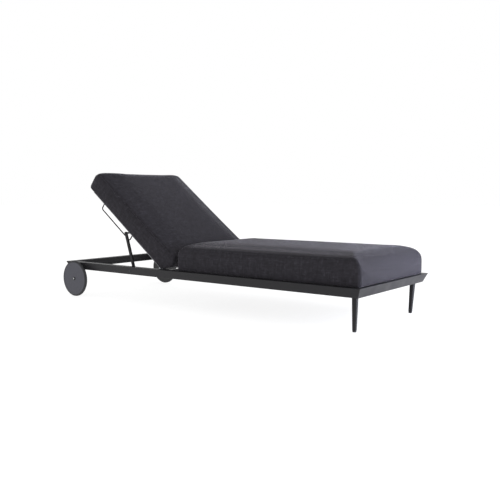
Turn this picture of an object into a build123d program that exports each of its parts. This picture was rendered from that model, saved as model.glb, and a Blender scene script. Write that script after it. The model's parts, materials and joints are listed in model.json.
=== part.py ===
"""Reclining sun lounger: aluminium frame on two legs and two wheels, propped backrest, two cushions.

Millimetres. +X points to the foot end, +Y across the lounger, +Z up. The origin lies on the floor
under the middle of the base frame. "left" is the -Y side, "right" the +Y side.
"""
from build123d import *
import os
from math import cos, hypot, radians, sin, sqrt

# ---- base frame ----
frame_length = 2000.0      # tip to tip of the mitred rails
frame_width = 740.0
rail_top = 205.0           # height of the rails' flat top
rail_height = 45.0
rail_top_width = 41.0
rail_flare = 20.0          # how far the outer face leans in from the top to the bottom
rail_wall = 3.0
rail_inner_wall = 7.0      # thick enough to hold the groove
groove_depth = 4.0
groove_height = 24.0
rail_edge_radius = 1.2
cleat_width = 10.0         # corner cleats inside the hollow rails
cleat_arm = 90.0
cleat_clearance = 0.3

# ---- legs at the foot end ----
leg_top_half = 12.9
leg_foot_half = 8.7
leg_gap_x = 2.0            # between the rails' inner faces and the leg's top
leg_gap_y = 8.5
leg_lean_x = 6.3           # how much further in the foot stands
leg_lean_y = 8.8
leg_roundness = 0.6        # corner radius as a share of the half width
leg_socket_height = 21.25
glide_height = 8.0
glide_inset = 0.6

# ---- pivots in the side rails ----
pivot_inset = 777.0        # from the head end tips to the backrest's pivot
pivot_drop = 15.0          # below the rails' top
prop_inset = 225.0         # from the backrest's pivot to the prop's
prop_drop = 24.0

# ---- seat ----
seat_slat_count = 8
seat_slat_width = 62.0
seat_slat_thickness = 10.0
seat_slat_head_inset = 53.0    # from the seat cushion's head end to the first slat's centre
seat_slat_foot_inset = 100.0   # from the foot end tips to the last slat's centre
seat_slat_wall = 2.0
cross_tube_width = 25.0
cross_tube_height = 18.0
cross_tube_wall = 2.0
cross_tube_head_inset = 107.0  # from the backrest's pivot to the head tube
cross_tube_foot_inset = 570.0  # from the foot end tips to the foot tube
seat_head_inset = 135.0        # from the backrest's pivot to the seat cushion
seat_foot_inset = 14.0         # from the foot end tips to the seat cushion
cushion_side_inset = 25.0      # from the frame's side tips to the cushions
seat_cushion_height = 138.7
seat_edge_radius = 62.0
cushion_corner_radius = 30.0   # upright corners
cushion_low_radius = 14.0  # underside edges
cushion_round_steps = 5    # outlines that shape a rounded edge
soft_clearance = 0.3

# ---- wheels at the head end ----
wheel_radius = 106.0
wheel_inset = 95.0         # axle to the head end tips
wheel_width = 17.0
wheel_rail_gap = 1.0       # between the rail's tip and the wheel
tyre_depth = 9.0
tyre_round = 7.0
tyre_lip_round = 0.5
disc_dish_radius = 88.0    # shallow dish in the disc's faces
disc_dish_depth = 1.0
disc_dish_bevel = 2.0
axle_radius = 6.0
axle_clearance = 0.05
bush_wall = 4.0
bush_proud = 0.4
hub_cap_radius = 9.0
hub_cap_height = 3.5
hub_cap_round = 2.1
bracket_thickness = 8.0
bracket_top_length = 70.0
bracket_boss_radius = 17.0
bracket_inset = 26.0       # bracket's outer face to the frame's side tip
spacer_radius = 11.0

# ---- backrest ----
backrest_angle = 37.4      # as stored, from lying flat
steepest_angle = 47.5
back_side_gap = 3.0        # between the side bars and the prop's arms
back_bar_width = 22.0
back_bar_thickness = 12.0
back_bar_wall = 2.0
back_end_gap = 18.0        # between the side bars' end and the head rail when lying flat
back_bar_tail = 11.0       # the bars' length past the pivot
back_tail_round = 5.9
back_solid_end = 30.0      # solid stretch round the pivot
back_slat_count = 5
back_slat_width = 70.0
back_slat_thickness = 10.0
back_slat_first = 95.0
back_slat_last_inset = 53.0    # from the side bars' end
back_rail_width = 40.0     # top and bottom bars of the backrest frame
back_rail_first = 20.0
back_rail_last_inset = 2.0     # from the side bars' end
pin_radius = 4.0
pin_clearance = 0.05
back_bush_wall = 1.0
back_bush_flange = 6.0
back_bush_step = 1.0       # the flange's radius past the sleeve's
back_cushion_low = -64.0
back_cushion_inset = 19.0  # from the head end tips when lying flat
back_cushion_front = 144.0
back_top_radius = 74.0
back_low_radius = 40.0
back_side_radius = 62.0
back_corner_radius = 44.0

# ---- toothed racks and keeper loops behind the backrest ----
rack_width = 10.0
rack_inset = 1.5           # from the bar's inner edge
rack_base = 2.0
tooth_height = 6.0         # from the bar's back, base included
tooth_length = 16.0
tooth_tip = 4.0            # flat at the tooth's tip
tooth_pitch = 45.5
tooth_first = 324.0
tooth_count = 6
loop_radius = 3.5
loop_inset = 1.0           # from the bar's outer edge
loop_depth = 37.0          # rod's axis behind the bar's back
loop_low = 314.0
loop_high = 607.0
loop_bend = 12.0

# ---- prop ----
prop_angle = 72.5          # as stored, from lying flat towards the head end
prop_arm_width = 16.0
prop_arm_thickness = 10.0
prop_rail_gap = 2.0
prop_bush_wall = 1.5
crossbar_radius = 5.0
crossbar_clearance = 1.0   # between the crossbar and the teeth it rides on
bolt_head_radius = 7.0
bolt_head_height = 3.0
bolt_head_bed = 12.0       # from the frame's side tip to the face the bolt head lies on

# ---- worked-out values ----
rail_bottom = rail_top - rail_height
half_length = frame_length / 2
half_width = frame_width / 2
rail_inside = half_width - rail_top_width
rail_inside_x = half_length - rail_top_width
leg_top_inset_x = rail_top_width + leg_gap_x + leg_top_half
leg_top_inset_y = rail_top_width + leg_gap_y + leg_top_half
pivot_x = -half_length + pivot_inset
pivot_z = rail_top - pivot_drop
prop_x = pivot_x - prop_inset
prop_z = rail_top - prop_drop
seat_cushion_head = pivot_x + seat_head_inset
seat_cushion_foot = half_length - seat_foot_inset
cushion_width = 2 * (half_width - cushion_side_inset)
wheel_x = -half_length + wheel_inset
wheel_inner = half_width + wheel_rail_gap
wheel_outer = wheel_inner + wheel_width
arm_outer = rail_inside - prop_rail_gap
arm_inner = arm_outer - prop_arm_thickness
back_half_width = arm_inner - back_side_gap
back_bar_end = pivot_inset - rail_top_width - back_end_gap
back_cushion_top = pivot_inset - back_cushion_inset
bar_inner = back_half_width - back_bar_width
bar_half = back_bar_thickness / 2
bush_radius = axle_radius + axle_clearance + bush_wall
back_bush_radius = pin_radius + pin_clearance + back_bush_wall
crossbar_back = bar_half + tooth_height + crossbar_clearance + crossbar_radius
prop_hole = pin_radius + pin_clearance + prop_bush_wall
slat_top = bar_half + back_slat_thickness
SIDES = (("left", -1), ("right", 1))

os.makedirs("parts", exist_ok=True)


def write(name, *solids):
    """Write one sub-part, a solid or a group of alike solids."""
    shape = solids[0] if len(solids) == 1 else Compound(children=list(solids))
    export_step(shape, f"parts/{name}.step")


def box(x, y, z):
    """A box from its (low, high) extents along the three axes."""
    size = [high - low for low, high in (x, y, z)]
    centre = [(low + high) / 2 for low, high in (x, y, z)]
    return Pos(*centre) * Box(*size)


def rod_y(x, z, radius, start, end):
    """A round rod along Y."""
    low, high = sorted((start, end))
    return Pos(x, (low + high) / 2, z) * Rot(90, 0, 0) * Cylinder(radius, high - low)


def plate(points, low, high):
    """A flat plate across Y, from its (x, z) outline."""
    face = make_face(Plane(origin=(0, (low + high) / 2, 0), x_dir=(1, 0, 0), z_dir=(0, -1, 0))
                     * Polyline(*points, close=True))
    return extrude(face, (high - low) / 2, both=True)


def on_side(shape, side):
    """What was modelled on the right (+Y), or its mirror image on the left."""
    return mirror(shape, Plane.XZ) if side < 0 else shape


def span(side, near, far):
    """The (low, high) extent across the lounger of what runs from near to far on one side."""
    return tuple(sorted((side * near, side * far)))


def turned(shape, angle):
    """A shape turned about the backrest's pivot, upwards for a positive angle."""
    return shape.rotate(Axis((pivot_x, 0, pivot_z), (0, 1, 0)), angle)


def raised(shape):
    """Turn what was modelled lying flat up to the backrest's stored angle."""
    return turned(shape, backrest_angle)


def back_box(along, across, up):
    """A box on the backrest: along it from the pivot, across, and up from the pivot's plane."""
    return box((pivot_x - along[1], pivot_x - along[0]), across, (pivot_z + up[0], pivot_z + up[1]))


# ---- base frame ----
def rail_section():
    """The rails' section: X runs inwards from the outer tip, Y is height."""
    outline = Polyline(
        (0, rail_top),
        (rail_top_width, rail_top),
        (rail_top_width, rail_bottom),
        (rail_flare, rail_bottom),
        close=True,
    )
    outer = make_face(outline)
    outer = fillet(outer.vertices(), rail_edge_radius)
    slant = rail_wall * hypot(rail_flare, rail_height) / rail_height
    lean = rail_flare / rail_height
    inner_x = rail_top_width - rail_inner_wall
    hollow = make_face(Polyline(
        (slant + lean * rail_wall, rail_top - rail_wall),
        (inner_x, rail_top - rail_wall),
        (inner_x, rail_bottom + rail_wall),
        (slant + rail_flare - lean * rail_wall, rail_bottom + rail_wall),
        close=True,
    ))
    groove = Pos(rail_top_width - groove_depth / 2, rail_bottom + rail_height / 2) * Rectangle(
        groove_depth, groove_height
    )
    return outer - hollow - groove


def mitred_rail(length, width):
    """A rail lying along X with its tip at Y = -width / 2, cut to the corners' mitres."""
    plane = Plane(origin=(-length / 2, -width / 2, 0), x_dir=(0, 1, 0), z_dir=(1, 0, 0))
    bar = extrude(plane * rail_section(), length)
    reach = 2 * rail_top_width
    keep = make_face(Polyline(
        (-length / 2, -width / 2),
        (length / 2, -width / 2),
        (length / 2 - reach, -width / 2 + reach),
        (-length / 2 + reach, -width / 2 + reach),
        close=True,
    ))
    return bar & extrude(keep, rail_top)


def bolt_cut(x, z):
    """What the prop's pivot bolt takes out of a left side rail: shank hole and head seat."""
    bed = half_width - bolt_head_bed
    seat = rod_y(x, z, bolt_head_radius + cleat_clearance, -bed, -half_width)
    return rod_y(x, z, pin_radius, -rail_inside, -half_width) + seat


def base_rails():
    """The four mitred rails. The side rails take the pivot pins and the prop's bolts."""
    side = mitred_rail(frame_length, frame_width) - bolt_cut(prop_x, prop_z)
    side -= rod_y(pivot_x, pivot_z, pin_radius, -rail_inside, -rail_inside - rail_inner_wall)
    end = mitred_rail(frame_width, frame_length)
    write("side_rail_left", side)
    write("side_rail_right", mirror(side, Plane.XZ))
    write("foot_rail", Rot(0, 0, 90) * end)
    write("head_rail", Rot(0, 0, -90) * end)


def corner_cleats():
    """L-shaped keys inside the hollow rails, one in each corner."""
    outward = rail_inner_wall + cleat_width + cleat_clearance
    outer_x = rail_inside_x + outward
    outer_y = rail_inside + outward
    low = rail_bottom + rail_wall
    high = rail_top - rail_wall - cleat_clearance
    cleats = []
    for sx in (-1, 1):
        for sy in (-1, 1):
            xs = tuple(sorted((sx * outer_x, sx * (outer_x - cleat_arm))))
            ys = tuple(sorted((sy * outer_y, sy * (outer_y - cleat_arm))))
            thin_x = tuple(sorted((sx * outer_x, sx * (outer_x - cleat_width))))
            thin_y = tuple(sorted((sy * outer_y, sy * (outer_y - cleat_width))))
            cleats.append(box(xs, thin_y, (low, high)) + box(thin_x, ys, (low, high)))
    write("corner_cleats", *cleats)


def leg_section(inset_x, inset_y, half, z):
    """A rounded square of the left leg at one height."""
    place = Pos(half_length - inset_x, -half_width + inset_y, z)
    return place * RectangleRounded(2 * half, 2 * half, leg_roundness * half)


def legs():
    """Two cast legs that taper to the floor, each on a small glide."""
    share = glide_height / rail_bottom
    foot_x = leg_top_inset_x + leg_lean_x * (1 - share)
    foot_y = leg_top_inset_y + leg_lean_y * (1 - share)
    foot_half = leg_foot_half + share * (leg_top_half - leg_foot_half)
    leg = loft([
        leg_section(foot_x, foot_y, foot_half, glide_height),
        leg_section(leg_top_inset_x, leg_top_inset_y, leg_top_half, rail_bottom),
    ])
    glide = loft([
        leg_section(foot_x, foot_y, leg_foot_half - 2 * glide_inset, 0),
        leg_section(foot_x, foot_y, foot_half - glide_inset, glide_height),
    ])
    write("foot_leg_left", leg)
    write("foot_leg_right", mirror(leg, Plane.XZ))
    write("leg_glide_left", glide)
    write("leg_glide_right", mirror(glide, Plane.XZ))


def leg_socket():
    """The cast corner block inside the rails' mitre that carries the left leg."""
    reach_x = leg_top_inset_x + leg_top_half
    reach_y = leg_top_inset_y + leg_top_half
    xs = (half_length - reach_x, rail_inside_x)
    ys = (-rail_inside, -half_width + reach_y)
    return box(xs, ys, (rail_bottom, rail_bottom + leg_socket_height))


def leg_sockets():
    """Corner blocks that the legs are bolted to, tucked behind the rails."""
    socket = leg_socket()
    write("leg_socket_left", socket)
    write("leg_socket_right", mirror(socket, Plane.XZ))


def hollow_slat(xs, ys, zs, wall):
    """A flat box tube along Y."""
    bore = box((xs[0] + wall, xs[1] - wall), ys, (zs[0] + wall, zs[1] - wall))
    return box(xs, ys, zs) - bore


def seat_slats():
    """Seat slats between the side rails, flush with the rails' top."""
    first = seat_cushion_head + seat_slat_head_inset
    last = half_length - seat_slat_foot_inset
    pitch = (last - first) / (seat_slat_count - 1)
    for number in range(seat_slat_count):
        centre = first + number * pitch
        xs = (centre - seat_slat_width / 2, centre + seat_slat_width / 2)
        zs = (rail_top - seat_slat_thickness, rail_top)
        slat = hollow_slat(xs, (-rail_inside, rail_inside), zs, seat_slat_wall)
        write(f"seat_slat_{number + 1}", slat)


def cross_tubes():
    """Two tubes that tie the side rails together under the slats."""
    places = (
        ("cross_tube_head", pivot_x - cross_tube_head_inset),
        ("cross_tube_foot", half_length - cross_tube_foot_inset),
    )
    for name, centre in places:
        xs = (centre - cross_tube_width / 2, centre + cross_tube_width / 2)
        zs = (rail_bottom, rail_bottom + cross_tube_height)
        write(name, hollow_slat(xs, (-rail_inside, rail_inside), zs, cross_tube_wall))


def stand_in(radius, reach):
    """How far a rounded edge stands in, this far past the start of its radius."""
    return radius - sqrt(radius ** 2 - min(max(0, reach), radius) ** 2)


def cushion_outline(size, end_radii, side_radius, corner_radii, z):
    """A cushion's level outline at one height, with its upright corners rounded."""
    length, width, height = size
    low = stand_in(cushion_low_radius, cushion_low_radius - z)
    edges = (*end_radii, side_radius)
    near, far, side = [low + stand_in(radius, z - height + radius) for radius in edges]
    first, last = corner_radii
    half = width / 2 - side
    outline = FilletPolyline(
        (near, -half), (length - far, -half), (length - far, half), (near, half),
        close=True, radius=[first, last, last, first],
    )
    return Pos(0, 0, z) * make_face(outline)


def cushion_block(size, end_radii, side_radius, corner_radii):
    """A cushion lying from X = 0 to its length and on Z = 0, rounded all round.

    end_radii are the upper edge radii, and corner_radii the upright corners' radii, at X = 0 and
    at the far end.
    """
    top_radius = max(*end_radii, side_radius)
    shoulder = size[2] - top_radius
    shares = [sin(radians(90 * step / cushion_round_steps)) for step in range(cushion_round_steps + 1)]
    low_heights = [cushion_low_radius * (1 - share) for share in reversed(shares)]
    top_heights = [shoulder + top_radius * share for share in shares]
    bands = []
    for heights in (low_heights, (cushion_low_radius, shoulder), top_heights):
        outlines = [cushion_outline(size, end_radii, side_radius, corner_radii, z) for z in heights]
        bands.append(loft(outlines))
    return bands[0] + bands[1] + bands[2]


def seat_cushion():
    """The seat cushion rests on the slats and the rails' flat tops."""
    size = (seat_cushion_foot - seat_cushion_head, cushion_width, seat_cushion_height)
    block = cushion_block(
        size, (seat_edge_radius, seat_edge_radius), seat_edge_radius,
        (cushion_corner_radius, cushion_corner_radius),
    )
    write("seat_cushion", Pos(seat_cushion_head, 0, rail_top + soft_clearance) * block)


# ---- wheels ----
def ring(profile_points):
    """Turn an outline of (radius, offset along Y) points about the wheel's axis."""
    face = make_face(Polyline(*[(r, y) for r, y in profile_points], close=True))
    return Pos(wheel_x, 0, wheel_radius) * revolve(face, Axis.Y, 360)


def wheels():
    """Two free wheels: disc, rubber tyre, bearing bush and hub cap."""
    tyre_inner = wheel_radius - tyre_depth
    tread = make_face(FilletPolyline(
        (tyre_inner, wheel_inner), (wheel_radius, wheel_inner),
        (wheel_radius, wheel_outer), (tyre_inner, wheel_outer),
        close=True, radius=[tyre_lip_round, tyre_round, tyre_round, tyre_lip_round],
    ))
    tyre = Pos(wheel_x, 0, wheel_radius) * revolve(tread, Axis.Y, 360)
    dish_in = wheel_inner + disc_dish_depth
    dish_out = wheel_outer - disc_dish_depth
    rim = disc_dish_radius + disc_dish_bevel
    disc = ring([
        (bush_radius, dish_in), (disc_dish_radius, dish_in), (rim, wheel_inner),
        (tyre_inner, wheel_inner), (tyre_inner, wheel_outer), (rim, wheel_outer),
        (disc_dish_radius, dish_out), (bush_radius, dish_out),
    ])
    bore = axle_radius + axle_clearance
    bush = ring([
        (bore, dish_in - bush_proud), (bush_radius, dish_in - bush_proud),
        (bush_radius, dish_out + bush_proud), (bore, dish_out + bush_proud),
    ])
    for label, side in SIDES:
        write(f"wheel_tyre_{label}", on_side(tyre, side))
        write(f"wheel_disc_{label}", on_side(disc, side))
        write(f"wheel_bush_{label}", on_side(bush, side))


def wheel_brackets():
    """Brackets under the side rails, and the stub axles with their caps."""
    outer = half_width - bracket_inset
    inner = outer - bracket_thickness
    web = plate([
        (wheel_x - bracket_top_length / 2, rail_bottom),
        (wheel_x + bracket_top_length / 2, rail_bottom),
        (wheel_x + bracket_boss_radius, wheel_radius),
        (wheel_x - bracket_boss_radius, wheel_radius),
    ], inner, outer)
    boss = rod_y(wheel_x, wheel_radius, bracket_boss_radius, inner, outer)
    spacer = rod_y(wheel_x, wheel_radius, spacer_radius, outer, wheel_inner)
    bracket = web + boss + spacer - rod_y(wheel_x, wheel_radius, axle_radius, inner, wheel_inner)
    head = rod_y(wheel_x, wheel_radius, hub_cap_radius, inner, inner - hub_cap_height)
    cap_start = wheel_outer - disc_dish_depth + bush_proud + soft_clearance
    shank = rod_y(wheel_x, wheel_radius, axle_radius, inner, cap_start)
    cap = rod_y(wheel_x, wheel_radius, hub_cap_radius, cap_start, cap_start + hub_cap_height)
    cap = fillet(cap.edges().group_by(Axis.Y)[-1], hub_cap_round)
    for label, side in SIDES:
        write(f"wheel_bracket_{label}", on_side(bracket, side))
        write(f"stub_axle_{label}", on_side(shank + head, side))
        write(f"hub_cap_{label}", on_side(cap, side))


# ---- backrest ----
def back_bar(side):
    """A side bar of the backrest frame: box tube, solid and round-ended at its pivot."""
    ys = span(side, bar_inner, back_half_width)
    bar = back_box((0, back_bar_end), ys, (-bar_half, bar_half))
    tail = back_box((-back_bar_tail, 0), ys, (-bar_half, bar_half))
    tail = fillet(tail.edges().filter_by(Axis.Y).group_by(Axis.X)[-1], back_tail_round)
    wall = back_bar_wall
    cavity_y = span(side, bar_inner + wall, back_half_width - wall)
    cavity = back_box((back_solid_end, back_bar_end - wall), cavity_y, (wall - bar_half, bar_half - wall))
    bore = rod_y(pivot_x, pivot_z, back_bush_radius, side * bar_inner, side * back_half_width)
    return bar + tail - cavity - bore


def rack(side):
    """A toothed strip on the bar's back, its teeth sloping towards the pivot."""
    across = span(side, bar_inner + rack_inset, bar_inner + rack_inset + rack_width)
    start = tooth_first - tooth_length
    end = tooth_first + (tooth_count - 1) * tooth_pitch + tooth_length
    strip = back_box((start, end), across, (-bar_half - rack_base, -bar_half))
    for number in range(tooth_count):
        tip = tooth_first + number * tooth_pitch
        strip += plate([
            (pivot_x - tip, pivot_z - bar_half - rack_base),
            (pivot_x - tip, pivot_z - bar_half - tooth_height),
            (pivot_x - tip - tooth_tip, pivot_z - bar_half - tooth_height),
            (pivot_x - tip - tooth_length, pivot_z - bar_half - rack_base),
        ], *across)
    return strip


def keeper_loop(side):
    """A bent rod behind the rack that keeps the prop's crossbar near its notches."""
    y = side * (back_half_width - loop_inset - loop_radius)
    low_x = pivot_x - loop_low
    high_x = pivot_x - loop_high
    rod_z = pivot_z - bar_half - loop_depth
    path = FilletPolyline(
        (low_x, y, pivot_z - bar_half),
        (low_x, y, rod_z),
        (high_x, y, rod_z),
        (high_x, y, pivot_z - bar_half),
        radius=loop_bend,
    )
    section = Plane(origin=(low_x, y, pivot_z - bar_half), z_dir=(0, 0, -1)) * Circle(loop_radius)
    return sweep(section, path)


def pivot_bush(side):
    """A flanged bush in a side bar's pivot bore."""
    flange_end = back_half_width + back_bush_flange
    sleeve = rod_y(pivot_x, pivot_z, back_bush_radius, side * bar_inner, side * back_half_width)
    flange_radius = back_bush_radius + back_bush_step
    flange = rod_y(pivot_x, pivot_z, flange_radius, side * back_half_width, side * flange_end)
    bore = rod_y(pivot_x, pivot_z, pin_radius + pin_clearance, side * bar_inner, side * flange_end)
    return sleeve + flange - bore


def backrest_frame():
    """Side bars, end bars, slats, racks, keeper loops and bushes."""
    for label, side in SIDES:
        write(f"back_bar_{label}", raised(back_bar(side)))
        write(f"pivot_bush_{label}", raised(pivot_bush(side)))
        write(f"rack_{label}", raised(rack(side)))
        write(f"keeper_loop_{label}", raised(keeper_loop(side)))
    last = back_bar_end - back_rail_last_inset - back_rail_width
    for name, start in (("back_bar_bottom", back_rail_first), ("back_bar_top", last)):
        along = (start, start + back_rail_width)
        bar = back_box(along, (-bar_inner, bar_inner), (-bar_half, bar_half))
        wall = back_bar_wall
        inside = (along[0] + wall, along[1] - wall)
        bar -= back_box(inside, (-bar_inner, bar_inner), (wall - bar_half, bar_half - wall))
        write(name, raised(bar))
    pitch = (back_bar_end - back_slat_last_inset - back_slat_first) / (back_slat_count - 1)
    for number in range(back_slat_count):
        centre = back_slat_first + number * pitch
        along = (centre - back_slat_width / 2, centre + back_slat_width / 2)
        slat = back_box(along, (-back_half_width, back_half_width), (bar_half, slat_top))
        wall = back_bar_wall
        inside = (along[0] + wall, along[1] - wall)
        hollow = (bar_half + wall, slat_top - wall)
        slat -= back_box(inside, (-back_half_width, back_half_width), hollow)
        write(f"back_slat_{number + 1}", raised(slat))


def back_cushion():
    """The backrest cushion on the slats, trimmed to clear the rails at the steepest setting."""
    length = back_cushion_top - back_cushion_low
    base = slat_top + soft_clearance
    block = cushion_block(
        (length, cushion_width, back_cushion_front - base),
        (back_top_radius, back_low_radius), back_side_radius,
        (back_corner_radius, cushion_corner_radius),
    )
    block = Pos(pivot_x - back_cushion_top, 0, pivot_z + base) * block
    steep = turned(block, steepest_angle)
    under = box((-half_length, half_length), (-half_width, half_width), (0, rail_top + soft_clearance))
    write("back_cushion", turned(steep - under, backrest_angle - steepest_angle))


def pivot_pins():
    """Pins in the side rails that the backrest turns on."""
    for label, side in SIDES:
        start = side * (rail_inside + rail_inner_wall)
        write(f"pivot_pin_{label}", rod_y(pivot_x, pivot_z, pin_radius, start, side * bar_inner))


# ---- prop ----
def crossbar_distance():
    """From the prop's pivot to the crossbar, which lies just behind the racks' teeth."""
    tilt = radians(backrest_angle)
    rise = radians(prop_angle)
    normal = (sin(tilt), cos(tilt))
    start = (prop_x - pivot_x) * normal[0] + (prop_z - pivot_z) * normal[1]
    gain = -cos(rise) * normal[0] + sin(rise) * normal[1]
    return (-crossbar_back - start) / gain


def prop():
    """Two arms and a crossbar that hold the backrest up, with bushes on the pivot bolts."""
    reach = crossbar_distance()
    rise = radians(prop_angle)
    top = (prop_x - reach * cos(rise), prop_z + reach * sin(rise))
    turn = Axis((prop_x, 0, prop_z), (0, 1, 0))
    half = prop_arm_width / 2
    arms = []
    bushes = []
    for label, side in SIDES:
        ys = span(side, arm_inner, arm_outer)
        arm = box((prop_x - reach, prop_x), ys, (prop_z - half, prop_z + half)).rotate(turn, prop_angle)
        for x, z in ((prop_x, prop_z), top):
            arm += rod_y(x, z, half, *ys)
        arm -= rod_y(prop_x, prop_z, prop_hole, *ys)
        arm -= rod_y(*top, crossbar_radius, *ys)
        write(f"prop_arm_{label}", arm)
        bush = rod_y(prop_x, prop_z, prop_hole, *ys)
        bushes.append(bush - rod_y(prop_x, prop_z, pin_radius + pin_clearance, *ys))
    write("prop_bushes", *bushes)
    write("prop_crossbar", rod_y(*top, crossbar_radius, -arm_outer, arm_outer))


def prop_bolts():
    """Bolts through the side rails that the prop turns on."""
    bed = half_width - bolt_head_bed
    shank = rod_y(prop_x, prop_z, pin_radius, -arm_inner, -bed)
    head = rod_y(prop_x, prop_z, bolt_head_radius, -bed, -bed - bolt_head_height)
    head = fillet(head.edges().group_by(Axis.Y)[0], bolt_head_height / 2)
    bolt = shank + head
    write("prop_bolt_left", bolt)
    write("prop_bolt_right", mirror(bolt, Plane.XZ))


base_rails()
corner_cleats()
legs()
leg_sockets()
seat_slats()
cross_tubes()
seat_cushion()
wheels()
wheel_brackets()
backrest_frame()
back_cushion()
pivot_pins()
prop()
prop_bolts()
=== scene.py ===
import json
import math

import bmesh
import bpy
import numpy as np
from mathutils import Matrix, Vector
from mathutils.bvhtree import BVHTree


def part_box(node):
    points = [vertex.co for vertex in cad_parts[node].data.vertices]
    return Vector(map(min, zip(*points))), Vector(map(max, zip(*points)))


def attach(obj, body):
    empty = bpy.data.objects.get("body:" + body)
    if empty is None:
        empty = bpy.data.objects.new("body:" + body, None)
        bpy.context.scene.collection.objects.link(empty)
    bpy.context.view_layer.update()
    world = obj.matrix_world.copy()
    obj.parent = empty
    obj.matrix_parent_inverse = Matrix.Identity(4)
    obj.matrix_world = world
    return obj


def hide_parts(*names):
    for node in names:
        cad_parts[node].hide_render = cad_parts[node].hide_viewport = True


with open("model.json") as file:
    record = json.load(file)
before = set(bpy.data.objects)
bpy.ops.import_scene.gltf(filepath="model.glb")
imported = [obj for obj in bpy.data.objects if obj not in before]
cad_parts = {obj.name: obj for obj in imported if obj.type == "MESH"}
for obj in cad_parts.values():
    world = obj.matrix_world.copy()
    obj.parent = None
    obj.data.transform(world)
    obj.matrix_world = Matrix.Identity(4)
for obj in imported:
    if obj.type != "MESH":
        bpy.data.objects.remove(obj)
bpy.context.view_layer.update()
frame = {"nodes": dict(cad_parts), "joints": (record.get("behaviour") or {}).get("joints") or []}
nodes = frame["nodes"]
joints = {joint["name"]: joint for joint in frame["joints"]}

mm = 0.001  # everything below is in metres


def linearColour(code):  # sRGB hex to the linear values that shaders want
    parts = [int(code[i:i + 2], 16) / 255 for i in (1, 3, 5)]
    return [p / 12.92 if p <= 0.04045 else ((p + 0.055) / 1.055) ** 2.4 for p in parts] + [1.0]


def addNode(tree, kind, settings=None, inputs=None):  # inputs take a number, a colour or a socket
    node = tree.nodes.new(kind)
    for name, value in (settings or {}).items():
        setattr(node, name, value)
    for name, value in (inputs or {}).items():
        if isinstance(value, bpy.types.NodeSocket):
            tree.links.new(value, node.inputs[name])
        else:
            node.inputs[name].default_value = value
    return node


def newMaterial(name):
    material = bpy.data.materials.new(name)
    material.use_nodes = True
    material.node_tree.nodes.clear()
    return material, material.node_tree


def closeShader(tree, shader):
    addNode(tree, "ShaderNodeOutputMaterial", inputs={"Surface": shader.outputs["BSDF"]})


def dress(names, material):  # a CAD node keeps its shape and gets the finish
    for name in names:
        mesh = nodes[name].data
        mesh.materials.clear()
        mesh.materials.append(material)


def bothSides(*names):
    return [f"{name}_{side}" for name in names for side in ("left", "right")]


fabricLook = {
    "threadPitch": 2.4 * mm,      # real threads are 1.2 mm apart, drawn twice as coarse to show
    "yarnDark": "#201e22",
    "yarnLight": "#323036",
    "yarnFleck": "#4a474f",       # the odd pale filament of a melange yarn
    "bump": 0.5 * mm,
    "threadGapPaintedShade": 0.45,             # painted shade: how dark the colour is made down between the threads
    "slub": (0.8, 0.05),          # tone changes per thread, across a yarn and along it
    "clouds": 60.0,               # per metre
    "fuzz": 900.0,
    "sheen": 0.66,
    "sheenRoughness": 0.17,
    "sheenTint": "#c2bfc8",
}


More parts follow.
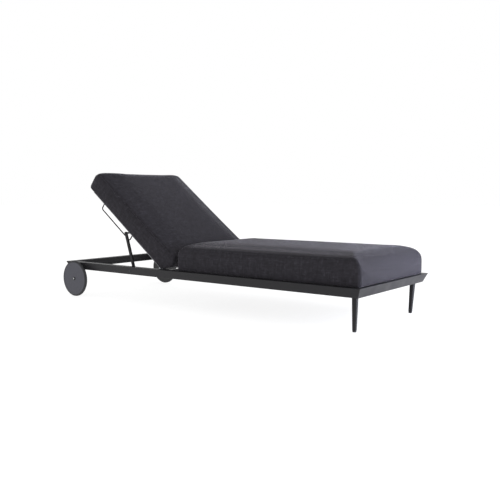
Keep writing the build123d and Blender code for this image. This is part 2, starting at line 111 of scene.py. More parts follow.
# melange weave of solution-dyed olefin: matt, with a pale bloom where it turns away from the eye
def wovenOlefinCharcoal(name, look, tilt):
    material, tree = newMaterial(name)
    source = addNode(tree, "ShaderNodeTexCoord")
    level = []
    for output in ("Object", "Normal"):  # the weave runs along a cushion that lies at this tilt
        level.append(addNode(tree, "ShaderNodeVectorRotate", {"rotation_type": "Y_AXIS"},
                             {"Vector": source.outputs[output], "Angle": -tilt}))
    place, normal = level
    facing = addNode(tree, "ShaderNodeVectorMath", {"operation": "ABSOLUTE"}, {0: normal.outputs[0]})
    turn = addNode(tree, "ShaderNodeSeparateXYZ", inputs={0: facing.outputs[0]})
    spot = addNode(tree, "ShaderNodeSeparateXYZ", inputs={0: place.outputs[0]})
    flatter = addNode(tree, "ShaderNodeMath", {"operation": "MAXIMUM"},
                      {0: turn.outputs["X"], 1: turn.outputs["Y"]})
    isTop = addNode(tree, "ShaderNodeMath", {"operation": "GREATER_THAN"},
                    {0: turn.outputs["Z"], 1: flatter.outputs[0]})
    isEnd = addNode(tree, "ShaderNodeMath", {"operation": "GREATER_THAN"},
                    {0: turn.outputs["X"], 1: turn.outputs["Y"]})
    notTop = addNode(tree, "ShaderNodeMath", {"operation": "SUBTRACT"}, {0: 1.0, 1: isTop.outputs[0]})
    onEnd = addNode(tree, "ShaderNodeMath", {"operation": "MULTIPLY"},
                    {0: isEnd.outputs[0], 1: notTop.outputs[0]})
    across = addNode(tree, "ShaderNodeMix", {"data_type": "FLOAT"},
                     {0: onEnd.outputs[0], 2: spot.outputs["X"], 3: spot.outputs["Y"]})
    along = addNode(tree, "ShaderNodeMix", {"data_type": "FLOAT"},
                    {0: isTop.outputs[0], 2: spot.outputs["Z"], 3: spot.outputs["Y"]})
    threads = []
    for part in (across, along):  # counted in threads from here on
        threads.append(addNode(tree, "ShaderNodeMath", {"operation": "DIVIDE"},
                               {0: part.outputs[0], 1: look["threadPitch"]}))
    count = addNode(tree, "ShaderNodeCombineXYZ",
                    inputs={0: threads[0].outputs[0], 1: threads[1].outputs[0], 2: 0.5})
    over = addNode(tree, "ShaderNodeTexChecker", inputs={
        "Vector": count.outputs[0], "Color1": (0, 0, 0, 1), "Color2": (1, 1, 1, 1), "Scale": 1.0})
    humps = []
    for thread in threads:
        halfTurn = addNode(tree, "ShaderNodeMath", {"operation": "MULTIPLY"},
                           {0: thread.outputs[0], 1: math.pi})
        wave = addNode(tree, "ShaderNodeMath", {"operation": "SINE"}, {0: halfTurn.outputs[0]})
        humps.append(addNode(tree, "ShaderNodeMath", {"operation": "ABSOLUTE"}, {0: wave.outputs[0]}))
    weave = addNode(tree, "ShaderNodeMix", {"data_type": "FLOAT"},
                    {0: over.outputs["Fac"], 2: humps[0].outputs[0], 3: humps[1].outputs[0]})
    slubs = []
    wide, long = look["slub"]
    for stretch in ((wide, long, 1), (long, wide, 1)):  # each yarn changes tone slowly along itself
        mapped = addNode(tree, "ShaderNodeMapping", inputs={"Vector": count.outputs[0], "Scale": stretch})
        slubs.append(addNode(tree, "ShaderNodeTexNoise", inputs={
            "Vector": mapped.outputs[0], "Scale": 1.0, "Detail": 3.0, "Roughness": 0.65}))
    slub = addNode(tree, "ShaderNodeMix", {"data_type": "FLOAT"},
                   {0: over.outputs["Fac"], 2: slubs[0].outputs["Fac"], 3: slubs[1].outputs["Fac"]})
    cloudy = addNode(tree, "ShaderNodeTexNoise", inputs={
        "Vector": place.outputs[0], "Scale": look["clouds"], "Detail": 3.0, "Roughness": 0.6})
    tone = addNode(tree, "ShaderNodeMath", {"operation": "MULTIPLY_ADD"},
                   {0: cloudy.outputs["Fac"], 1: 0.45, 2: slub.outputs[0]})
    melange = addNode(tree, "ShaderNodeValToRGB", inputs={0: tone.outputs[0]})
    ramp = melange.color_ramp
    ramp.elements[0].position, ramp.elements[0].color = 0.50, linearColour(look["yarnDark"])
    ramp.elements[1].position, ramp.elements[1].color = 1.0, linearColour(look["yarnFleck"])
    middle = ramp.elements.new(0.84)
    middle.color = linearColour(look["yarnLight"])
    # painted shade: the weave's dips darken the yarn colour, standing in for the shade between the threads
    gapPaintedShade = addNode(tree, "ShaderNodeMapRange", inputs={
        0: weave.outputs[0], 1: 0.0, 2: 0.55, 3: look["threadGapPaintedShade"], 4: 1.0})
    shaded = addNode(tree, "ShaderNodeVectorMath", {"operation": "SCALE"},
                     {0: melange.outputs["Color"], "Scale": gapPaintedShade.outputs[0]})  # painted shade between the threads
    fuzz = addNode(tree, "ShaderNodeTexNoise",
                   inputs={"Vector": place.outputs[0], "Scale": look["fuzz"], "Detail": 2.0})
    height = addNode(tree, "ShaderNodeMath", {"operation": "MULTIPLY_ADD"},
                     {0: fuzz.outputs["Fac"], 1: 0.4, 2: weave.outputs[0]})
    bump = addNode(tree, "ShaderNodeBump",
                   inputs={"Strength": 0.8, "Distance": look["bump"], "Height": height.outputs[0]})
    shader = addNode(tree, "ShaderNodeBsdfPrincipled", inputs={
        "Base Color": shaded.outputs[0], "Roughness": 0.93, "IOR": 1.49, "Specular IOR Level": 0.25,
        "Sheen Weight": look["sheen"], "Sheen Roughness": look["sheenRoughness"],
        "Sheen Tint": linearColour(look["sheenTint"]), "Normal": bump.outputs[0],
    })
    closeShader(tree, shader)
    return material


coatLook = {
    "colour": "#18171a",
    "worn": "#201e22",
    "grain": 0.9 * mm,            # the fine orange peel of a baked powder
    "patches": 14.0,              # per metre, where its gloss and tone drift
    "roughness": (0.36, 0.5),
    "specular": 0.24,
    "bump": 0.05 * mm,
}
barLook = {  # the backrest's side bars get a pale grey coat, glossier than the rails, which makes the light line beside the cushion
    "colour": "#7d7e82",
    "worn": "#8a8b8f",
    "grain": 0.9 * mm,
    "patches": 14.0,
    "roughness": (0.25, 0.35),
    "specular": 0.6,
    "bump": 0.03 * mm,
}


# baked polyester powder on aluminium: soft wide highlights over a faint grainy skin
def powderCoat(name, look):
    material, tree = newMaterial(name)
    place = addNode(tree, "ShaderNodeTexCoord")
    grain = addNode(tree, "ShaderNodeTexNoise",
                    inputs={"Vector": place.outputs["Object"], "Scale": 1 / look["grain"], "Detail": 2.0})
    patch = addNode(tree, "ShaderNodeTexNoise", inputs={
        "Vector": place.outputs["Object"], "Scale": look["patches"], "Detail": 4.0, "Roughness": 0.6})
    rough = addNode(tree, "ShaderNodeMapRange", inputs={
        0: patch.outputs["Fac"], 1: 0.3, 2: 0.7, 3: look["roughness"][0], 4: look["roughness"][1]})
    share = addNode(tree, "ShaderNodeMapRange",
                    inputs={0: patch.outputs["Fac"], 1: 0.45, 2: 0.75, 3: 0.0, 4: 0.5})
    colour = addNode(tree, "ShaderNodeMix", {"data_type": "RGBA"}, {
        0: share.outputs[0], 6: linearColour(look["colour"]), 7: linearColour(look["worn"])})
    bump = addNode(tree, "ShaderNodeBump",
                   inputs={"Strength": 0.6, "Distance": look["bump"], "Height": grain.outputs["Fac"]})
    shader = addNode(tree, "ShaderNodeBsdfPrincipled", inputs={
        "Base Color": colour.outputs[2], "Roughness": rough.outputs[0], "IOR": 1.5,
        "Specular IOR Level": look["specular"], "Normal": bump.outputs[0],
    })
    closeShader(tree, shader)
    return material


discLook = {
    "colour": "#3d3d46",
    "scuff": "#4a4a54",
    "back": "#151517",            # painted shade: the disc's inner half is coloured near black, standing in for the shade on the far wheel's inner face under the frame
    "faceDepth": 8 * mm,          # of the grey outer half
    "ring": 3.2 * mm,             # spacing of the faint rings left by the mould's turning
    "grain": 1600.0,              # per metre
    "patches": 30.0,
    "bump": 0.1 * mm,
    "roughness": (0.45, 0.6),
}


# moulded polypropylene: an even mid grey with fine rings round the hub, and a near-black inner half that is
# painted shade
def mouldedDisc(name, look, centre, outerFace):
    material, tree = newMaterial(name)
    place = addNode(tree, "ShaderNodeTexCoord")
    fromHub = addNode(tree, "ShaderNodeVectorMath", {"operation": "SUBTRACT"},
                      {0: place.outputs["Object"], 1: centre})
    flat = addNode(tree, "ShaderNodeVectorMath", {"operation": "MULTIPLY"},
                   {0: fromHub.outputs[0], 1: (1, 0, 1)})
    reach = addNode(tree, "ShaderNodeVectorMath", {"operation": "LENGTH"}, {0: flat.outputs[0]})
    rings = addNode(tree, "ShaderNodeMath", {"operation": "MULTIPLY"},
                    {0: reach.outputs["Value"], 1: 2 * math.pi / look["ring"]})
    wave = addNode(tree, "ShaderNodeMath", {"operation": "SINE"}, {0: rings.outputs[0]})
    grain = addNode(tree, "ShaderNodeTexNoise",
                    inputs={"Vector": place.outputs["Object"], "Scale": look["grain"], "Detail": 2.0})
    height = addNode(tree, "ShaderNodeMath", {"operation": "MULTIPLY_ADD"},
                     {0: wave.outputs[0], 1: 0.25, 2: grain.outputs["Fac"]})
    patch = addNode(tree, "ShaderNodeTexNoise", inputs={
        "Vector": place.outputs["Object"], "Scale": look["patches"], "Detail": 5.0, "Roughness": 0.65})
    rough = addNode(tree, "ShaderNodeMapRange", inputs={
        0: patch.outputs["Fac"], 1: 0.3, 2: 0.7, 3: look["roughness"][0], 4: look["roughness"][1]})
    share = addNode(tree, "ShaderNodeMapRange",
                    inputs={0: patch.outputs["Fac"], 1: 0.45, 2: 0.8, 3: 0.0, 4: 0.6})
    face = addNode(tree, "ShaderNodeMix", {"data_type": "RGBA"}, {
        0: share.outputs[0], 6: linearColour(look["colour"]), 7: linearColour(look["scuff"])})
    # painted shade: all but the outer face is coloured near black, for the shade under the frame
    split = addNode(tree, "ShaderNodeSeparateXYZ", inputs={0: place.outputs["Object"]})
    outward = addNode(tree, "ShaderNodeMath", {"operation": "ABSOLUTE"}, {0: split.outputs["Y"]})
    isFace = addNode(tree, "ShaderNodeMath", {"operation": "GREATER_THAN"},
                     {0: outward.outputs[0], 1: outerFace - look["faceDepth"]})
    colour = addNode(tree, "ShaderNodeMix", {"data_type": "RGBA"}, {
        0: isFace.outputs[0], 6: linearColour(look["back"]), 7: face.outputs[2]})
    bump = addNode(tree, "ShaderNodeBump",
                   inputs={"Strength": 0.35, "Distance": look["bump"], "Height": height.outputs[0]})
    shader = addNode(tree, "ShaderNodeBsdfPrincipled", inputs={
        "Base Color": colour.outputs[2], "Roughness": rough.outputs[0], "IOR": 1.49,
        "Normal": bump.outputs[0],
    })
    closeShader(tree, shader)
    return material


plainLooks = {
    # colour, second tone, metallic, roughness, pattern size and bump in mm
    "tyreRubber": ("#1f1f22", "#2c2c30", 0.0, (0.62, 0.8), 1.4, 0.12),         # dull, a little dusty
    "footRubber": ("#161618", "#222225", 0.0, (0.6, 0.75), 1.2, 0.08),         # matt moulded glide
    "bearingNylon": ("#1c1c1e", "#27272a", 0.0, (0.4, 0.5), 1.0, 0.04),        # slightly waxy
    "polishedStainless": ("#c9cacc", "#b4b5b8", 1.0, (0.16, 0.26), 0.8, 0.01),  # bright, turned
    "blackenedSteel": ("#4a4b4e", "#3a3b3d", 1.0, (0.35, 0.5), 0.8, 0.02),     # dark, barely glinting
    "brushedStainless": ("#9b9da0", "#85878b", 1.0, (0.3, 0.42), 0.6, 0.02),   # soft grey streaks
}
plainPatches = 45.0  # per metre, where a plain finish drifts to its second tone


def plainFinish(name):
    colourCode, toneCode, metallic, roughness, size, depth = plainLooks[name]
    material, tree = newMaterial(name)
    place = addNode(tree, "ShaderNodeTexCoord")
    grain = addNode(tree, "ShaderNodeTexNoise",
                    inputs={"Vector": place.outputs["Object"], "Scale": 1 / (size * mm), "Detail": 3.0})
    patch = addNode(tree, "ShaderNodeTexNoise", inputs={
        "Vector": place.outputs["Object"], "Scale": plainPatches, "Detail": 4.0, "Roughness": 0.6})
    rough = addNode(tree, "ShaderNodeMapRange",
                    inputs={0: patch.outputs["Fac"], 1: 0.3, 2: 0.7, 3: roughness[0], 4: roughness[1]})
    share = addNode(tree, "ShaderNodeMapRange",
                    inputs={0: patch.outputs["Fac"], 1: 0.4, 2: 0.7, 3: 0.0, 4: 1.0})
    colour = addNode(tree, "ShaderNodeMix", {"data_type": "RGBA"},
                     {0: share.outputs[0], 6: linearColour(colourCode), 7: linearColour(toneCode)})
    bump = addNode(tree, "ShaderNodeBump",
                   inputs={"Strength": 0.7, "Distance": depth * mm, "Height": grain.outputs["Fac"]})
    shader = addNode(tree, "ShaderNodeBsdfPrincipled", inputs={
        "Base Color": colour.outputs[2], "Metallic": metallic, "Roughness": rough.outputs[0],
        "Normal": bump.outputs[0],
    })
    closeShader(tree, shader)
    return material


recline = joints["backrest_recline"]
pivot = Vector(recline["pos_m"])
storedTilt = math.radians(-recline["range_deg"][0])
steepTilt = storedTilt + math.radians(recline["range_deg"][1])
fabrics = {
    "seatCushion": wovenOlefinCharcoal("wovenOlefinCharcoal", fabricLook, 0.0),
    "backCushion": wovenOlefinCharcoal("wovenOlefinCharcoalBack", fabricLook, storedTilt),
}
coat = powderCoat("powderCoatAnthracite", coatLook)
barCoat = powderCoat("powderCoatPaleBar", barLook)
finishes = {name: plainFinish(name) for name in plainLooks}
print("finishes made")

slats = [name for name in nodes if "_slat_" in name]
# the side bars take the pale grey coat, which shows as a light line beside the cushion
dress(bothSides("back_bar"), barCoat)
dress(bothSides("side_rail", "foot_leg", "leg_socket", "rack", "keeper_loop", "prop_arm", "wheel_bracket"),
      coat)
dress(["head_rail", "foot_rail", "corner_cleats", "cross_tube_head", "cross_tube_foot", "back_bar_top",
       "back_bar_bottom", "prop_crossbar"] + slats, coat)
dress(bothSides("wheel_tyre"), finishes["tyreRubber"])
dress(bothSides("leg_glide"), finishes["footRubber"])
dress(bothSides("wheel_bush", "pivot_bush", "hub_cap") + ["prop_bushes"], finishes["bearingNylon"])
dress(bothSides("stub_axle", "pivot_pin"), finishes["brushedStainless"])
dress(bothSides("prop_bolt"), finishes["blackenedSteel"])
for side in ("left", "right"):
    hub = joints[f"wheel_{side}_spin"]["pos_m"]
    outerFace = max(abs(corner.y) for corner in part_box(f"wheel_disc_{side}"))
    disc = mouldedDisc(f"mouldedDiscGrey{side.title()}", discLook, hub, outerFace)
    dress([f"wheel_disc_{side}"], disc)
print("frame dressed")


hubLook = {
    "radius": 4.4 * mm,
    "dome": 1.3 * mm,     # height at the socket's mouth
    "edge": 0.5 * mm,     # height of the rim
    "bedded": 0.4 * mm,   # how far it starts below the cap's face
    "socket": 2.0 * mm,   # corner radius of the hexagon
    "depth": 1.0 * mm,
    "sides": 48,
    "domeSteps": (12, 24, 36, 48, 60, 72),  # degrees round the dome, from the rim inwards
}


# polished button-head bolt in the middle of the dark hub cap, with a hexagon socket
def hubBolt(side, sign, look):
    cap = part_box(f"hub_cap_{side}")
    centre = (cap[0] + cap[1]) / 2
    face = max(abs(cap[0].y), abs(cap[1].y))
    rise = look["dome"] - look["edge"]
    profile = [(look["radius"], -look["bedded"]), (look["radius"], look["edge"])]
    for degrees in look["domeSteps"]:
        turn = math.radians(degrees)
        profile.append((look["radius"] * math.cos(turn), look["edge"] + rise * math.sin(turn)))
    bolt = bmesh.new()
    rings = []
    for radius, height in profile:
        rings.append([(radius, 2 * math.pi * k / look["sides"], height) for k in range(look["sides"])])
    top = look["dome"]
    for depth in (top, top - look["depth"]):  # the socket's mouth and floor, six-sided
        ring = []
        for k in range(look["sides"]):
            angle = 2 * math.pi * k / look["sides"]
            within = (angle % (math.pi / 3)) - math.pi / 6
            ring.append((look["socket"] * math.cos(math.pi / 6) / math.cos(within), angle, depth))
        rings.append(ring)
    loops = []
    for ring in rings:
        loop = []
        for r, a, h in ring:
            spot = (centre.x + r * math.cos(a), sign * (face + h), centre.z + r * math.sin(a))
            loop.append(bolt.verts.new(spot))
        loops.append(loop)
    for lower, upper in zip(loops, loops[1:]):
        for k in range(look["sides"]):
            j = (k + 1) % look["sides"]
            bolt.faces.new((lower[k], lower[j], upper[j], upper[k]))
    bolt.faces.new(loops[0])
    bolt.faces.new(loops[-1])
    bmesh.ops.recalc_face_normals(bolt, faces=bolt.faces[:])
    mesh = bpy.data.meshes.new(f"hubBolt{side.title()}")
    bolt.to_mesh(mesh)
    bolt.free()
    mesh.materials.append(finishes["polishedStainless"])
    piece = bpy.data.objects.new(f"hubBolt{side.title()}", mesh)
    bpy.context.scene.collection.objects.link(piece)
    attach(piece, "base")


hubBolt("left", -1, hubLook)
hubBolt("right", 1, hubLook)
print("hub bolts made")

seatLook = {
    "endRadii": (56 * mm, 64 * mm),   # rounding over the head end and the foot end
    "reach": (-15 * mm, 0.0),         # how far its ends lie from the plain block's
    "sideRadius": 50 * mm,
    "lowRadius": 9 * mm,
    "cornerRadii": (10 * mm, 18 * mm),
    "rise": 14 * mm,                  # of the crown over the plain block
    "fill": 0.85,
}
backLook = {
    "endRadii": (54 * mm, 64 * mm),   # over the top end and the low end
    "reach": (0.0, -14 * mm),
    "sideRadius": 52 * mm,
    "lowRadius": 8 * mm,
    "cornerRadii": (34 * mm, 14 * mm),
    "rise": 15 * mm,
    "fill": 0.8,
}
coverLook = {  # what both covers share
    "shrink": (2 * mm, 2 * mm, 5 * mm),  # cut smaller by this along, across and up, then filled out
    "voxel": 6 * mm,
    "crown": 4 * mm,
    "sidePull": 4 * mm,               # how far the long sides draw in between the corners
    "endPull": 2.4 * mm,              # the same for the ends
    "seamInset": 15 * mm,             # the side panels' seams, in from the cushion's sides
    "seamHold": 0.75,                 # how firmly a seam is held while the cover fills
    "seamReach": 7 * mm,
    "footing": 3 * mm,                # the lowest part of the cover stays where it is
    "pressure": 4.0,
    "frames": 20,
    "swell": 9 * mm,                  # no point moves further than this
    "calm": 12,                       # smoothing rounds, which leave only a soft undulation
    "bedding": 5 * mm,                # how far the weight flattens the lower edge
}
cloth = {
    "quality": 4,
    "mass": 0.35,
    "tension_stiffness": 18,
    "compression_stiffness": 18,
    "shear_stiffness": 8,
    "bending_stiffness": 0.6,
    "use_pressure": True,
}
weltLook = {
    "radius": 1.5 * mm,
    "sunk": 0.9 * mm,
    "groove": 1.5 * mm,
    "grooveWidth": 4.5 * mm,
    "spacing": 6 * mm,                # of the points along it
    "evening": 4,
    "clearUnder": 2 * mm,             # the flat underside has no groove
}


def standIn(radius, reach):  # how far a rounded edge stands in, this far along its radius
    return radius - math.sqrt(max(radius ** 2 - min(max(reach, 0.0), radius) ** 2, 0.0))


def cushionShell(low, high, look):  # level outlines from the underside to the top, closed at both
    length, width, height = high - low
    topRadius = max(*look["endRadii"], look["sideRadius"])
    steps = [math.sin(math.radians(a)) for a in range(0, 91, 10)]
    levels = [look["lowRadius"] * (1 - s) for s in reversed(steps)]
    levels += [height - topRadius + topRadius * s for s in steps]
    shell = bmesh.new()
    rings = []
    for level in levels:
        under = standIn(look["lowRadius"], look["lowRadius"] - level)
        near, far, side = [under + standIn(r, level - height + r)
                           for r in (*look["endRadii"], look["sideRadius"])]
        half = width / 2 - side
        ring = []
        corners = (  # place, where its arc starts in degrees, and which end it is at
            (near, -half, 180, 0), (length - far, -half, 270, 1),
            (length - far, half, 0, 1), (near, half, 90, 0),
        )
        for x, y, start, end in corners:
            radius = look["cornerRadii"][end]
            cx = x + radius * (1 if x < length / 2 else -1)
            cy = y + radius * (1 if y < 0 else -1)
            for part in range(7):
                angle = math.radians(start + part * 15)
                spot = (cx + radius * math.cos(angle), cy + radius * math.sin(angle), level)
                ring.append(shell.verts.new(Vector(spot) + Vector((low.x, (low.y + high.y) / 2, low.z))))
        rings.append(ring)
    for lower, upper in zip(rings, rings[1:]):
        for i in range(len(lower)):
            j = (i + 1) % len(lower)
            shell.faces.new((lower[i], lower[j], upper[j], upper[i]))
    shell.faces.new(list(reversed(rings[0])))
    shell.faces.new(rings[-1])
    mesh = bpy.data.meshes.new("shell")
    shell.to_mesh(mesh)
    shell.free()
    return mesh


def settle(piece):  # bakes the piece's modifiers into its mesh
    bpy.context.view_layer.update()
    evaluated = piece.evaluated_get(bpy.context.evaluated_depsgraph_get())
    mesh = bpy.data.meshes.new_from_object(evaluated)
    piece.modifiers.clear()
    piece.data = mesh


def points(mesh):
    flat = np.empty(len(mesh.vertices) * 3, np.float32)
    mesh.vertices.foreach_get("co", flat)
    return flat.reshape(-1, 3).astype(float)


def setPoints(mesh, spots):
    mesh.vertices.foreach_set("co", spots.astype(np.float32).ravel())
    mesh.update()


def smoothed(mesh, field, rounds):  # evens a field out over the mesh, each point with its neighbours
    ends = np.empty(len(mesh.edges) * 2, np.int32)
    mesh.edges.foreach_get("vertices", ends)
    a, b = ends.reshape(-1, 2).T
    count = np.bincount(ends, minlength=len(mesh.vertices))[:, None]
    for _ in range(rounds):
        total = np.zeros_like(field)
        for k in range(3):
            total[:, k] = np.bincount(a, field[b, k], len(field)) + np.bincount(b, field[a, k], len(field))
        field = 0.5 * field + 0.5 * total / count
    return field


# the cover swells under its filling, held along its seams and underside
def fillOut(piece, low, high):
    start = points(piece.data)
    seams = (high.y - low.y) / 2 - coverLook["shrink"][1] - coverLook["seamInset"]
    middle = (low.y + high.y) / 2
    besideSeam = np.abs(np.abs(start[:, 1] - middle) - seams)
    held = np.clip(1 - besideSeam / coverLook["seamReach"], 0, 1) * coverLook["seamHold"]
    held[start[:, 2] < low.z + coverLook["footing"]] = 1.0
    group = piece.vertex_groups.new(name="held")
    for index in np.nonzero(held > 0.02)[0]:
        group.add([int(index)], float(held[index]), "REPLACE")
    sim = piece.modifiers.new("cloth", "CLOTH")
    for name, value in cloth.items():
        setattr(sim.settings, name, value)
    sim.settings.uniform_pressure_force = coverLook["pressure"]
    sim.settings.effector_weights.gravity = 0
    sim.settings.vertex_group_mass = "held"
    sim.collision_settings.use_collision = False
    sim.collision_settings.use_self_collision = False
    sim.point_cache.frame_start = 1
    sim.point_cache.frame_end = coverLook["frames"]
    scene = bpy.context.scene
    for step in range(1, coverLook["frames"] + 1):
        scene.frame_set(step)
    evaluated = piece.evaluated_get(bpy.context.evaluated_depsgraph_get())
    moved = points(evaluated.data) - start
    piece.modifiers.clear()
    piece.vertex_groups.clear()
    scene.frame_set(1)
    reach = np.linalg.norm(moved, axis=1, keepdims=True)
    swell = coverLook["swell"]
    soft = swell * np.tanh(reach / swell)  # eases up to the limit instead of stopping dead
    eased = moved * soft / np.maximum(reach, 1e-9)
    setPoints(piece.data, start + smoothed(piece.data, eased, coverLook["calm"]))
    print("  filled out, moved up to", round(float(reach.max() / mm), 1), "mm before the limit")


def shapeCushion(piece, low, high):  # sides and ends draw in between the corners, and the top is crowned
    spots = points(piece.data)
    centre = (low + high) / 2
    half = (high - low) / 2
    along = (spots[:, 0] - centre.x) / half.x
    across = (spots[:, 1] - centre.y) / half.y
    up = (spots[:, 2] - low.z) / (high.z - low.z)
    midLength = np.clip(1 - along ** 2, 0, 1)
    midWidth = np.clip(1 - across ** 2, 0, 1)
    spots[:, 1] -= coverLook["sidePull"] * across * midLength * np.clip(1 - (2 * up - 1) ** 4, 0, 1)
    spots[:, 0] -= coverLook["endPull"] * along * midWidth
    spots[:, 2] += coverLook["crown"] * midLength * midWidth * np.clip(up, 0, 1)
    setPoints(piece.data, spots)


def seamPath(mesh, level):  # the closed line where the plane y = level cuts the mesh
    cut = bmesh.new()
    cut.from_mesh(mesh)
    made = bmesh.ops.bisect_plane(cut, geom=cut.verts[:] + cut.edges[:] + cut.faces[:],
                                  plane_co=(0, level, 0), plane_no=(0, 1, 0))
    edges = [e for e in made["geom_cut"] if isinstance(e, bmesh.types.BMEdge)]
    nearby = {}
    for edge in edges:
        a, b = edge.verts
        nearby.setdefault(a, []).append(b)
        nearby.setdefault(b, []).append(a)
    first = edges[0].verts[0]
    line, last, here = [first.co.copy()], None, first
    while True:
        onward = [v for v in nearby[here] if v is not last]
        if not onward or onward[0] is first:
            break
        last, here = here, onward[0]
        line.append(here.co.copy())
    cut.free()
    return np.array([list(p) for p in line])


def evenly(line):  # resamples a closed line and takes the ripple out of it
    closed = np.vstack([line, line[:1]])
    run = np.concatenate([[0], np.cumsum(np.linalg.norm(np.diff(closed, axis=0), axis=1))])
    count = int(run[-1] / weltLook["spacing"])
    at = np.linspace(0, run[-1], count, endpoint=False)
    even = np.stack([np.interp(at, run, closed[:, k]) for k in range(3)], 1)
    for _ in range(weltLook["evening"]):
        even = (np.roll(even, 1, 0) + 2 * even + np.roll(even, -1, 0)) / 4
    return even


def sewSeams(piece, low, high):  # a fine welt along each side panel, pressed into its own groove
    level = (high.y - low.y) / 2 - coverLook["seamInset"]
    middle = (low.y + high.y) / 2
    spots = points(piece.data)
    normals = np.empty(len(spots) * 3, np.float32)
    piece.data.vertices.foreach_get("normal", normals)
    normals = normals.reshape(-1, 3)
    beside = np.abs(np.abs(spots[:, 1] - middle) - level)
    depth = weltLook["groove"] * np.exp(-(beside / weltLook["grooveWidth"]) ** 2)
    raised = spots[:, 2] > low.z + weltLook["clearUnder"]
    spots -= normals * (depth * raised)[:, None]
    setPoints(piece.data, spots)
    welts = []
    for name, sign in (("Left", -1), ("Right", 1)):
        line = evenly(seamPath(piece.data, middle + sign * level))
        tree = BVHTree.FromObject(piece, bpy.context.evaluated_depsgraph_get())
        route = []
        for spot in line:
            near, normal, _, _ = tree.find_nearest(Vector(spot))
            spot = near + normal * (weltLook["radius"] - weltLook["sunk"])
            spot.z = max(spot.z, low.z + weltLook["radius"])  # flush with the flat underside
            route.append(spot)
        curve = bpy.data.curves.new(f"{piece.name}Welt{name}", "CURVE")
        curve.dimensions = "3D"
        curve.bevel_depth = weltLook["radius"]
        curve.bevel_resolution = 2
        spline = curve.splines.new("POLY")
        spline.points.add(len(route) - 1)
        for point, spot in zip(spline.points, route):
            point.co = (*spot, 1.0)
        spline.use_cyclic_u = True
        welt = bpy.data.objects.new(f"{piece.name}Welt{name}", curve)
        bpy.context.scene.collection.objects.link(welt)
        bpy.context.view_layer.update()
        mesh = bpy.data.meshes.new_from_object(welt.evaluated_get(bpy.context.evaluated_depsgraph_get()))
        bpy.data.objects.remove(welt)
        bpy.data.curves.remove(curve)
        welt = bpy.data.objects.new(f"{piece.name}Welt{name}", mesh)
        bpy.context.scene.collection.objects.link(welt)
        welts.append(welt)
    return welts


# filled tight: it takes up the length and width that its cover is cut for
def fitTo(piece, low, high, rise):
    spots = points(piece.data)
    bottom, top = spots.min(0), spots.max(0)
    goal = np.array(high) + (0, 0, rise)
    scale = (goal - np.array(low)) / (top - bottom)
    spots = np.array(low) + (spots - bottom) * scale
    up = (spots[:, 2] - low.z) / (goal[2] - low.z)
    spots[:, 2] = np.maximum(spots[:, 2] - coverLook["bedding"] * (1 - up), low.z)
    setPoints(piece.data, spots)


def makeCushion(name, node, body, look, place, trim=None):
    toLocal = place.inverted()
    spots = np.array([toLocal @ v.co for v in nodes[node].data.vertices])
    low, high = Vector(spots.min(0)), Vector(spots.max(0))
    low.x += look["reach"][0]
    high.x += look["reach"][1]
    inset = Vector(coverLook["shrink"])
    base = cushionShell(low + Vector((inset.x, inset.y, 0)), high - inset, look)
    piece = bpy.data.objects.new(name, base)
    bpy.context.scene.collection.objects.link(piece)
    remesh = piece.modifiers.new("remesh", "REMESH")
    remesh.mode = "VOXEL"
    remesh.voxel_size = coverLook["voxel"] * 1
    settle(piece)
    shapeCushion(piece, low, high)
    print(name, "has", len(piece.data.vertices), "points")
    fillOut(piece, low, high)
    piece.modifiers.new("finer", "SUBSURF").levels = 1
    settle(piece)
    spots = points(piece.data)
    spots[:, 2] = np.maximum(spots[:, 2], low.z)  # flat where it lies on its slats
    setPoints(piece.data, spots)
    fitTo(piece, low, high, look["rise"])
    if trim is not None:
        trim(piece)
    for part in [piece, *sewSeams(piece, low, high)]:
        part.data.transform(place)
        part.data.materials.clear()
        part.data.materials.append(fabrics[name])
        part.data.shade_smooth()
        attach(part, body)
    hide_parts(node)


backPlace = Matrix.Translation(pivot) @ Matrix.Rotation(storedTilt, 4, "Y")
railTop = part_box("side_rail_left")[1].z
railClearance = 1.5 * mm


def clearOfRails(piece):  # the low end is cut back to what clears the rails at the steepest setting
    spots = points(piece.data)
    steep = np.array(Matrix.Rotation(steepTilt, 3, "Y"))
    under = railTop - pivot.z + railClearance
    turned = spots @ steep.T
    short = np.clip(under - turned[:, 2], 0, None)
    turned[:, 2] += short
    setPoints(piece.data, turned @ steep)


makeCushion("seatCushion", "seat_cushion", "base", seatLook, Matrix.Identity(4))
makeCushion("backCushion", "back_cushion", "backrest", backLook, backPlace, clearOfRails)
print("cushions made")


studioLook = {
    "floor": "#8c8c8c",
    "floorReach": 30.0,
    "floorGlow": 0.85,                # keeps the cast shadows as pale as on a lit white floor
    "world": 1.0,
    "zenith": 0.72,                   # the ceiling is dimmer than the walls
    "keySpot": (1.95, 0.45, 0.42),    # low and close to the foot end, so it fades towards the backrest
    "keyAim": (0.95, 0.05, 0.28),
    "keySize": 0.9,
    "keyPower": 33.0,
    "keyColour": (0.9, 0.95, 1.14),
}
cameraLook = {
    "position": (2.3214, -2.8782, 0.6090),
    "forward": (-0.6041, 0.7925, -0.0839),
    "lens": 47.55,
    "sensor": 36.0,
}


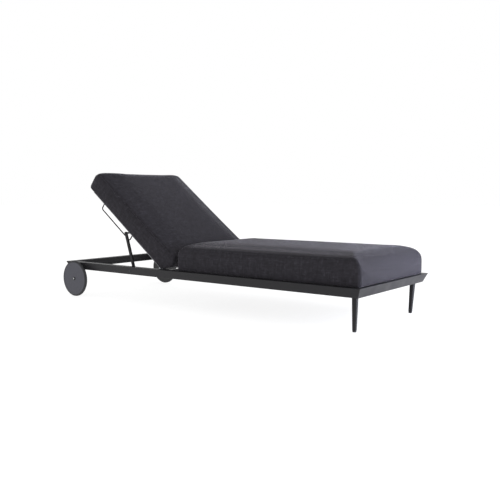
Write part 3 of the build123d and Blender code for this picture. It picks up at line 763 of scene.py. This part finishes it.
def areaLamp(name, spot, aim, size, power, colour):
    lamp = bpy.data.lights.new(name, "AREA")
    lamp.color = colour
    lamp.shape = "DISK"
    lamp.size = size
    lamp.energy = power
    holder = bpy.data.objects.new(name, lamp)
    holder.location = spot
    holder.rotation_euler = (Vector(aim) - Vector(spot)).to_track_quat("-Z", "Y").to_euler()
    holder.visible_camera = False
    bpy.context.scene.collection.objects.link(holder)


def studio(look):
    mesh = bpy.data.meshes.new("floor")
    reach = look["floorReach"]
    corners = [(-reach, -reach, 0), (reach, -reach, 0), (reach, reach, 0), (-reach, reach, 0)]
    mesh.from_pydata(corners, [], [(0, 1, 2, 3)])
    floor = bpy.data.objects.new("floor", mesh)
    bpy.context.scene.collection.objects.link(floor)
    material, tree = newMaterial("paintedStudioFloor")
    shader = addNode(tree, "ShaderNodeBsdfPrincipled", inputs={
        "Base Color": linearColour(look["floor"]), "Roughness": 0.9, "Specular IOR Level": 0.1,
        "Emission Color": (1.0, 1.0, 1.0, 1.0), "Emission Strength": look["floorGlow"]})
    closeShader(tree, shader)
    mesh.materials.append(material)
    world = bpy.data.worlds.new("studio")
    bpy.context.scene.world = world
    world.use_nodes = True
    tree = world.node_tree
    around = addNode(tree, "ShaderNodeTexCoord")
    split = addNode(tree, "ShaderNodeSeparateXYZ", inputs={0: around.outputs["Generated"]})
    height = addNode(tree, "ShaderNodeMapRange", inputs={
        0: split.outputs["Z"], 1: 0.4, 2: 0.9, 3: look["world"], 4: look["zenith"]})
    back = tree.nodes["Background"]
    back.inputs["Color"].default_value = (1.0, 1.0, 1.0, 1.0)
    tree.links.new(height.outputs[0], back.inputs["Strength"])
    areaLamp("keyLamp", look["keySpot"], look["keyAim"], look["keySize"], look["keyPower"], look["keyColour"])
    view = bpy.context.scene.view_settings
    view.view_transform = "Standard"
    view.look = "None"


studio(studioLook)
camera = bpy.data.objects.new("camera", bpy.data.cameras.new("camera"))
camera.data.lens = cameraLook["lens"]
camera.data.sensor_width = cameraLook["sensor"]
camera.location = cameraLook["position"]
camera.rotation_euler = Vector(cameraLook["forward"]).to_track_quat("-Z", "Y").to_euler()
bpy.context.scene.collection.objects.link(camera)
bpy.context.scene.camera = camera
print("studio ready")
